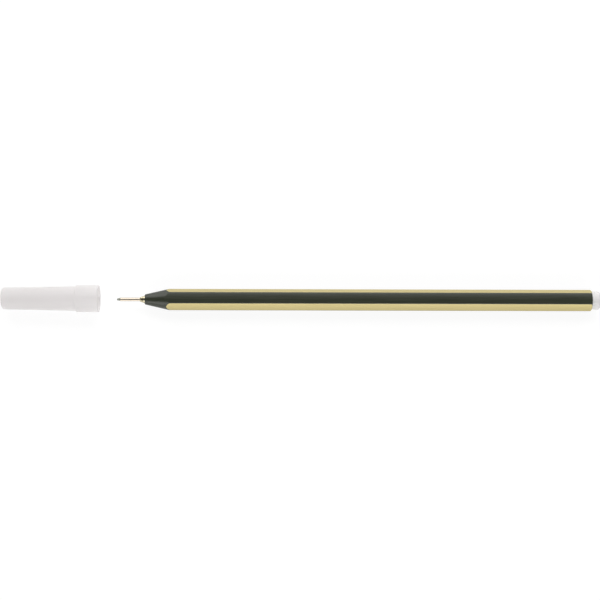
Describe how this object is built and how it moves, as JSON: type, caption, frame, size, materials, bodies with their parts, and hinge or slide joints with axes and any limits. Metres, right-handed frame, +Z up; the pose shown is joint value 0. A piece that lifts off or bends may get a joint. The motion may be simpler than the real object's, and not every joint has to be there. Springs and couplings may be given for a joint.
{
  "type": "ballpoint pen",
  "caption": "Slim hexagonal stick ballpoint with a black and gold striped barrel, a metal needle tip, a round end plug and a separate push-on cap.",
  "frame": {"origin": "under the middle of the pen and cap as they lie in line, on the surface that both lie on", "axes": "+X along the pen's axis from the tip to the end plug, +Z up"},
  "size_m": [0.179, 0.0082, 0.0081],
  "materials": {
    "black_plastic": "satin moulded black, finely textured on the nose",
    "gold_foil": "satin pale gold hot-stamped film",
    "white_plastic": "soft satin white moulded plastic",
    "tube_plastic": "milky extruded tube",
    "ink": "thick glossy black ink",
    "tip_brass": "turned brass",
    "needle_metal": "drawn nickel silver tube",
    "ball_metal": "ground carbide ball"
  },
  "bodies": {
    "pen": {"barrel": "black_plastic", "gold_stripes": "gold_foil", "end_plug": "white_plastic", "ink_tube": "tube_plastic", "ink": "ink", "tip_body": "tip_brass", "needle": "needle_metal"},
    "ball": {"ball": "ball_metal"},
    "cap": {"cap": "white_plastic"}
  },
  "joints": [
    {"name": "cap_slide", "type": "slide", "parent": "pen", "child": "cap", "axis": [0.9992, 0, -0.0397], "range_m": [0, 0.02698]},
    {"name": "ball_roll", "type": "hinge", "parent": "pen", "child": "ball", "pos_m": [-0.05491, 0, 0.003], "axis": [0, 1, 0], "continuous": true}
  ]
}
